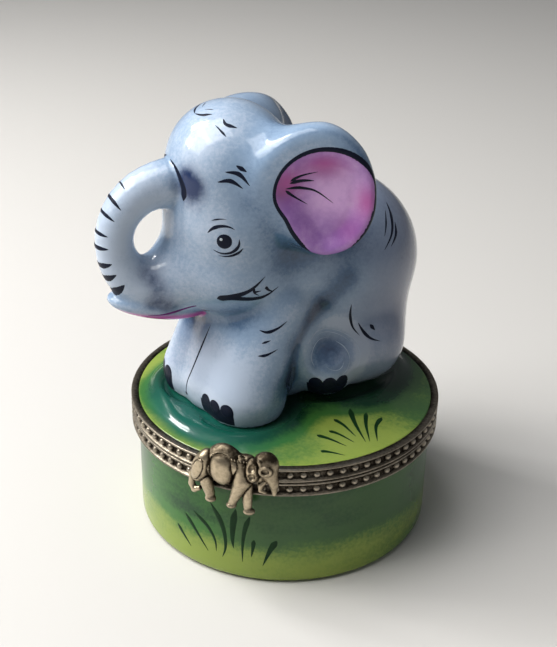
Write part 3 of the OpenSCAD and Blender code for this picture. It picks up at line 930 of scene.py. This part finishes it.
def build_figure():
    step = 0.45
    verts, quads = surface_net(figure_field, (-34, -25, -1.5), (39, 26, 61), step)
    x, _, z = verts.T
    g = head_frame(verts)
    # Painted shade in creases and hollows, from how hemmed in each point is, partly also the paint's
    # airbrushed blue
    crease = (0.40 * closeness(figure_field, verts, 1.5) + 0.34 * closeness(figure_field, verts, 3.5)
              + 0.2 * closeness(figure_field, verts, 8.0))
    low_rear = fraction((8 - x) / 24) * fraction((46 - z) / 26)

    def glow(p, centre, r):
        return bump_at(ball(p, centre, 0), 0, r)

    def both_glow(centre, r):
        return glow(g, centre, r) + glow(g, np.float32(centre) * np.float32([1, -1, 1]), r)

    trunk_part = fraction((g[:, 0] - 19) / 4)
    face_part = fraction((g[:, 0] - 2) / 9) * fraction((g[:, 2] - 20) / 5)
    leg_part = fraction((x - 7) / 7) * fraction((24 - z) / 8)
    rear = fraction((4 - x) / 26)
    mirrored = both_sides(verts)
    sole = ball(mirrored, SOLE, 0)
    # Painted shade: less on the face, more towards the rear away from the light; the trunk and legs carry
    # less blue paint
    crease = crease * (1 - 0.6 * face_part)
    shade = 0.12 + 1.1 * crease + 0.20 * rear - 0.10 * np.maximum(trunk_part, leg_part)
    # Painted shade at the listed places
    for centre, r, amount in BODY_SHADES:
        shade = shade + amount * glow(mirrored, centre, r)
    for centre, r, amount in HEAD_SHADES:
        shade = shade + amount * both_glow(centre, r)
    shade = shade + 0.40 * bump_at(sole, 0, 4.0) - 0.4 * bump_at(sole, 6.2, 1.5)
    # A painted shadow along the crease between the shoulder and the flank
    flank = chain(mirrored, FLANK_SHADOW_PATH, [0.1] * len(FLANK_SHADOW_PATH), 0.5)
    # Mauve-grey towards the low rear, partly the paint and partly painted shade, kept off the flank's
    # painted shadow
    mauve_and_shade = np.clip(0.35 * low_rear + 0.4 * rear, 0, 0.7) * (1 - bump_at(flank, 0, 4))
    shade = shade + 0.60 * bump_at(flank, 0, 2.7)
    # Lighter low down at the rear, taking back some of the painted shade there
    shade = shade - 0.25 * fraction((6 - z) / 6) * fraction((-3 - x) / 5)
    blue = sum(amount * both_glow(centre, r) for centre, r, amount in BLUE_SPOTS)
    ear = np.full(len(verts), 5.0)
    tone = np.zeros(len(verts))
    blush = np.zeros(len(verts))
    for which in (LEFT_EAR, RIGHT_EAR):
        u, v, w = ear_place(g, which)
        inside = outline_distance(u, v, EAR_INSIDE)
        outer = w > -0.5
        painted = outer & (inside < 1)
        ear = np.where(outer, np.minimum(ear, inside), ear)

        def wash(u0, v0, wide, high, amount):
            return amount * np.exp(-((u - u0) ** 2 / wide + (v - v0) ** 2 / high))

        tone = np.where(painted, sum(wash(*w) for w in EAR_TONES), tone)
        blush = np.where(painted, sum(wash(*w) for w in EAR_BLUSHES), blush)
    lip_near = lower_lip(g) < 0.5
    lip = np.where(lip_near, fraction((20.6 + 0.13 * (g[:, 0] - 20) - g[:, 2]) / 0.7), 0)
    values = {"shade": shade, "mauve_and_shade": mauve_and_shade, "blue_spot": blue, "ear": ear, "ear_tone": tone,
              "ear_blush": fraction(blush), "lip": lip}
    return add_mesh("elephant_glazed", figure_to_row(verts), quads, elephant_glaze(), values=values)


def head_to_figure(g):
    return np.float32(g) @ HEAD.T + NECK


def paint_figure():
    """Brush strokes on both sides of the elephant. The left side is drawn; the right is its mirror."""
    def lay(p):
        return settle(figure_field, np.float32(p), 4)

    def slope(p):
        return slope_of(figure_field, p)

    dark = Brush(lay, slope, 1.75)
    # light paints the eyes' painted highlights
    light, pink, toes, pale = [Brush(lay, slope) for _ in range(4)]
    for side in (1, -1):
        def on_head(points):
            start = head_to_figure([(x, 24 * side, z) for x, z in points])
            return throw(start, HEAD @ np.float32([0, -side, 0]))

        def on_body(points):
            return throw([(x, 26 * side, z) for x, z in points], (0, -side, 0))

        for points, width in BROW_STROKES:
            dark.stroke(on_head(points), width, 0.5)
        for points, width in MOUTH_STROKES:
            dark.stroke(on_head(points), width, 0.08)
        for rx, rz, start, end, width in EYE_ARCS:
            dark.stroke(on_head(ellipse(EYE, rx, rz, start, end)), width, 0.35)
        dark.dot(on_head([EYE])[0], 1.45)
        # A painted highlight: a small white glint dot on each eye
        light.dot(on_head([(EYE[0] + 0.5, EYE[1] + 0.4)])[0], 0.27, lift=0.09)
        for points, width in CROWN_STROKES:
            start = head_to_figure([(x, y * side, 62) for x, y in points])
            dark.stroke(throw(start, (0, 0, -1)), width, 0.7)
        for points, width in SIDE_STROKES:
            dark.stroke(on_body(points), width, 0.4)
        ear = LEFT_EAR if side > 0 else RIGHT_EAR
        out = ear["axes"] @ np.float32([0, side, 0])
        angle, reach = rounded_reach(EAR_INSIDE)

        def on_ear(points):
            start = np.float32([(u, 8 * side, v) for u, v in points]) @ ear["axes"].T
            return throw(head_to_figure(start + np.float32(ear["centre"])), -(HEAD @ out))

        angle, reach = angle[::2], reach[::2]
        rim_width = 0.42 + 0.26 * np.clip(1 - np.cos(angle - 0.2), 0, 1.6)
        rim = on_ear(zip(reach * np.cos(angle), reach * np.sin(angle)))
        dark.stroke(rim, rim_width, 0, tail=1, steps=len(rim))
        for points, width in EAR_VEINS:
            dark.stroke(on_ear(points), width, 0.2)
        to_side = np.float32([1, side, 1])
        dark.stroke(head_to_figure(TRUNK_ROOT * to_side), 1.0, 0.85)
        pink.stroke(head_to_figure(LIP_LINE * to_side), 0.8, 0.8, tail=0.6)
        for r, start, end, width in SOLE_ARCS:
            pale.stroke(on_body(ellipse((SOLE[0], SOLE[2] - 0.8), r, r, start, end)), width)
    for centre, foot_r, directions, middle, r in TOES:
        for toe in np.radians(directions):
            x, y = centre[0] + foot_r * math.cos(toe), centre[1] + foot_r * math.sin(toe)
            toes.dot((x, y, middle), r)
            down = [(x, y, z) for z in (middle, middle * 0.7, middle * 0.3, -0.1)]
            toes.stroke(down, 2.7 * r, 0, tail=1)
    loop = TRUNK_PATH - np.float32([TRUNK_LOOP[0], 0, TRUNK_LOOP[1]])
    bearing = np.degrees(np.arctan2(loop[:, 2], loop[:, 0]))
    starts, outward = [], []
    for direction, _, half_fan in TRUNK_RINGS:
        reach = np.interp(direction, bearing, np.hypot(loop[:, 0], loop[:, 2]))
        d = math.radians(direction)
        core = np.float32([TRUNK_LOOP[0] + reach * math.cos(d), 0, TRUNK_LOOP[1] + reach * math.sin(d)])
        for a in np.radians(np.linspace(half_fan, -half_fan, 7)):
            outward.append((math.cos(a) * math.cos(d), math.sin(a), math.cos(a) * math.sin(d)))
            starts.append(core + 9 * np.float32(outward[-1]))
    rings = throw(head_to_figure(starts), -np.float32(outward) @ HEAD.T).reshape(len(TRUNK_RINGS), -1, 3)
    for (_, width, _), ring in zip(TRUNK_RINGS, rings):
        dark.stroke(ring, width, 0.25, tail=0.5)
    leg_line = throw([(30, 1.0, 16.6), (30, 0.2, 12), (30, -0.6, 7.5), (30, -1.6, 2.4)], (-1, 0, 0))
    dark.stroke(leg_line, 0.3, 0.3, tail=0.5)
    dark.dot(throw([(30, -1.65, 2.0)], (-1, 0, 0))[0], 0.4)
    return (dark.finish("figure_strokes", dark_paint, figure_to_row),
            pink.finish("lip_lines", lip_paint, figure_to_row),
            toes.finish("toes", dark_paint, figure_to_row),
            pale.finish("sole_lines", pale_paint, figure_to_row),
            light.finish("eye_lights", glint_paint, figure_to_row))


def build_charm():
    step = 0.17
    verts, quads = surface_net(charm_field, (-9.5, -0.6, 16.8), (9.6, 4.2, 32.6), step)
    wear_and_shade = 1.0 - 1.3 * closeness(charm_field, verts, 0.5) - 0.3 * closeness(charm_field, verts, 1.4)
    facing = slope_of(charm_field, verts)
    x, out, z = verts.T
    # Painted shade: darker on faces turned towards +x and downwards and further towards +x, the side away
    # from the light; also darker on top of the back
    wear_and_shade = wear_and_shade - 0.75 * fraction((z - 28.8) / 1.2) * fraction(facing[:, 2] * 1.6)
    wear_and_shade = wear_and_shade - 0.25 * fraction(facing[:, 0] * 1.4) - 0.35 * fraction(-facing[:, 2] * 1.5)
    wear_and_shade = wear_and_shade - 0.18 * fraction((x + 5) / 9)
    wear_and_shade = wear_and_shade * fraction(out / 1.2)
    return add_mesh("clasp_elephant", charm_to_row(verts), quads, charm_metal,
                    values={"wear_and_shade": fraction(wear_and_shade)})


def rounded_copy(node_name, name, width):
    """A CAD node's shape with its sharp edges rounded."""
    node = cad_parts[node_name]
    work = bmesh.new()
    work.from_mesh(node.data)
    work.transform(node.matrix_world)
    bmesh.ops.remove_doubles(work, verts=work.verts, dist=1e-6)
    flat, sharp = math.radians(2), math.radians(35)
    bmesh.ops.dissolve_limit(work, angle_limit=flat, verts=work.verts, edges=work.edges)
    corners = [e for e in work.edges if len(e.link_faces) == 2 and e.calc_face_angle() > sharp]
    bmesh.ops.bevel(work, geom=corners, offset=width * MM, segments=2, profile=0.6, affect="EDGES",
                    clamp_overlap=True)
    work.verts.index_update()
    verts = np.array([v.co for v in work.verts]) / MM
    faces = [[v.index for v in f.verts] for f in work.faces]
    work.free()
    values = {"wear_and_shade": np.full(len(verts), 0.45)}
    return add_mesh(name, verts, faces, band_metal, smooth=False, values=values)


def build_catch():
    verts, faces = bead_mesh(CATCH_X / bezel_r - math.pi / 2, CATCH_Z, bezel_r - 0.15, 0.75)
    return add_mesh("catch_bead", verts, faces, band_metal, values={"wear_and_shade": np.full(len(verts), 0.9)})


# Blades of grass, root first: (x, y) on the lid, and (direction, z) on the bowl, with their widths
LID_GRASS = [
    ([(13.4, -22), (15.1, -21.7), (18, -21.7)], 0.75),
    ([(11.4, -17.4), (14.1, -17.8), (17.6, -18.9)], 0.8),
    ([(13.2, -15.3), (15.4, -15.7), (18.6, -17.2)], 0.75),
    ([(13.1, -11.2), (15.4, -12.5), (18.5, -15.3)], 0.8),
    ([(15.2, -6.9), (17.4, -11.3), (20.6, -16.3)], 0.95),
    ([(18.4, -6.7), (19.4, -10.9), (21.3, -15.9)], 0.8),
    ([(21.6, -7.2), (21.3, -10.7), (22.6, -15.3)], 0.85)]
BOWL_GRASS = [
    ([(-26.9, 7.7), (-23.7, 6), (-20, 4)], 0.75), ([(-22.6, 11.3), (-17.7, 8.5), (-12.1, 4.7)], 0.85),
    ([(-18.5, 12.7), (-12.5, 10.6), (-9.2, 7.9), (-8.6, 5.3)], 0.8),
    ([(-11, 16.2), (-7, 12.9), (-5.1, 9.6), (-4.9, 6.6), (-6.1, 4.4)], 0.95),
    ([(-0.9, 16.2), (-1.9, 12.4), (-2.1, 9.1), (-1.7, 7.1)], 1.2),
    ([(4.5, 15.1), (2.7, 12), (1.8, 8.2), (1.8, 4.3)], 0.85),
    ([(6, 9.8), (5.7, 7.9), (5.1, 5.7)], 0.75), ([(14.4, 10.1), (12, 7.7), (9.4, 4)], 1.1)]


def paint_grass():
    def lay_lid(p):
        p = np.float32(p).copy()
        p[:, 2] = lid_height(p[:, 0], p[:, 1])
        return p

    def slope_lid(p):
        e = 0.05
        dx = (lid_height(p[:, 0] + e, p[:, 1]) - lid_height(p[:, 0] - e, p[:, 1])) / (2 * e)
        dy = (lid_height(p[:, 0], p[:, 1] + e) - lid_height(p[:, 0], p[:, 1] - e)) / (2 * e)
        return unit(np.stack([-dx, -dy, np.ones(len(p))], 1))

    def lay_bowl(p):
        p = np.float32(p)
        out = bowl_r / radius_of(p)
        return np.stack([p[:, 0] * out, p[:, 1] * out, p[:, 2]], 1)

    def slope_bowl(p):
        return unit(p * np.float32([1, 1, 0]))

    on_lid = Brush(lay_lid, slope_lid, 1.5)
    for points, width in LID_GRASS:
        on_lid.stroke([(x, y, 27) for x, y in points], width, 0.12)
    on_bowl = Brush(lay_bowl, slope_bowl, 1.5)
    for turn_deg in (0, 180):
        for points, width in BOWL_GRASS:
            headings = [(math.radians(a + turn_deg), z) for a, z in points]
            blade = [(bowl_r * math.sin(a), -bowl_r * math.cos(a), z) for a, z in headings]
            on_bowl.stroke(blade, width, 0.2)
    return on_lid.finish("lid_grass", green_paint), on_bowl.finish("bowl_grass", green_paint)


def place(piece, body, slot, *nodes):
    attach(piece, body)
    if nodes:
        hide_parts(*nodes)


place(build_bowl(), "base", "bowl_porcelain", "base_bowl")
place(build_lid(), "lid", "lid_porcelain", "lid_plate")
place(build_figure(), "lid", "elephant_porcelain", "elephant_figure")
place(build_band("base_band", base_band_low, base_band_high, base_band_high - 0.6, 0),
      "base", "antique_brass", "base_bezel")
place(build_band("lid_band", lid_band_low, lid_band_high, lid_band_low, clasp_gap_deg),
      "lid", "antique_brass", "lid_bezel")

place(build_charm(), "lid", "charm_brass", "clasp_charm")
place(build_catch(), "base", "antique_brass", "catch_ball")
place(rounded_copy("base_hinge_leaf", "base_leaf", 0.12), "base", "antique_brass", "base_hinge_leaf")
place(rounded_copy("lid_hinge_leaf", "lid_leaf", 0.12), "lid", "antique_brass", "lid_hinge_leaf")
place(rounded_copy("hinge_pin", "pin", 0.1), "base", "pin_brass", "hinge_pin")
for strokes in paint_figure():
    place(strokes, "lid", "elephant_porcelain")
lid_blades, bowl_blades = paint_grass()
place(lid_blades, "lid", "lid_porcelain")
place(bowl_blades, "base", "bowl_porcelain")


# ---------------- floor, lights and camera
FLOOR_HALF = 3000
FLOOR_COLOUR = (0.60, 0.585, 0.56, 1)
WORLD_COLOUR = (0.86, 0.88, 0.92, 1)
WORLD_STRENGTH = 0.15
LIGHT_TARGET = Vector((0, 0, 0.045))
WARM_WHITE = (1.0, 0.98, 0.95)
COOL_WHITE = (0.9, 0.95, 1.0)
LIGHTS = [  # name, azimuth and elevation, distance and size in metres, power in watts, colour
    ("window_pane_1", -81, 28, 0.55, (0.035, 0.08), 0.35, WARM_WHITE),
    ("skylight_1", -102, 47, 0.55, (0.03, 0.22), 0.6, (1, 1, 1)),
    ("window_pane_2", -71, 28, 0.55, (0.035, 0.08), 0.35, WARM_WHITE),
    ("skylight_2", -94, 47, 0.55, (0.03, 0.22), 0.6, (1, 1, 1)),
    ("window_right", 70, 30, 0.7, (0.3, 0.3), 0.12, COOL_WHITE),
    ("overhead", -58, 66, 0.7, (0.5, 0.5), 3.9, (1, 1, 1)),
    ("window_soft", -66, 40, 0.55, (0.4, 0.3), 2.0, WARM_WHITE)]
CAMERA_TURN = (16.5, 26.9, 1.1)  # the photograph's azimuth from the clasp, elevation and roll
CAMERA_DISTANCE = 0.226
CAMERA_LENS = 63.6


def build_floor():
    h = FLOOR_HALF
    paper = Nodes("floor_paper").set(Base_Color=FLOOR_COLOUR, Roughness=0.7)
    add_mesh("floor", [(-h, -h, 0), (h, -h, 0), (h, h, 0), (-h, h, 0)], [(0, 1, 2, 3)], paper)


def sky_direction(azimuth, elevation):
    """From the object outwards. Azimuth 0 is over the clasp, -Y; angles in degrees."""
    a, e = math.radians(azimuth), math.radians(elevation)
    return Vector((math.sin(a) * math.cos(e), -math.cos(a) * math.cos(e), math.sin(e)))


def area_light(name, azimuth, elevation, distance, size, power, colour):
    """A rectangular light that looks at the middle of the object."""
    out = sky_direction(azimuth, elevation)
    data = bpy.data.lights.new(name, "AREA")
    data.shape = "RECTANGLE"
    data.size, data.size_y = size
    data.energy = power
    data.color = colour
    aim = (-out).to_track_quat("-Z", "Y").to_matrix().to_4x4()
    add_object(name, data).matrix_world = Matrix.Translation(LIGHT_TARGET + distance * out) @ aim


def build_world():
    world = bpy.data.worlds.new("studio")
    world.use_nodes = True
    background = world.node_tree.nodes["Background"].inputs
    background["Color"].default_value = WORLD_COLOUR
    background["Strength"].default_value = WORLD_STRENGTH
    bpy.context.scene.world = world


def build_camera():
    """Looks at the object from the photograph's viewing angle."""
    azimuth, elevation, roll = CAMERA_TURN
    back = sky_direction(azimuth, elevation)
    across = sky_direction(azimuth + 90, 0)
    target = across * -0.00155 + Vector((0, 0, 0.0406))
    basis = Matrix((across, back.cross(across), back)).transposed()
    basis = basis @ Matrix.Rotation(math.radians(roll), 3, "Z")
    data = bpy.data.cameras.new("camera")
    data.sensor_width = 36
    data.lens = CAMERA_LENS
    data.clip_start = 0.01
    camera = add_object("camera", data)
    camera.matrix_world = Matrix.Translation(target + back * CAMERA_DISTANCE) @ basis.to_4x4()
    bpy.context.scene.camera = camera


build_floor()
build_world()
for light in LIGHTS:
    area_light(*light)
build_camera()
bpy.context.scene.view_settings.view_transform = "Standard"
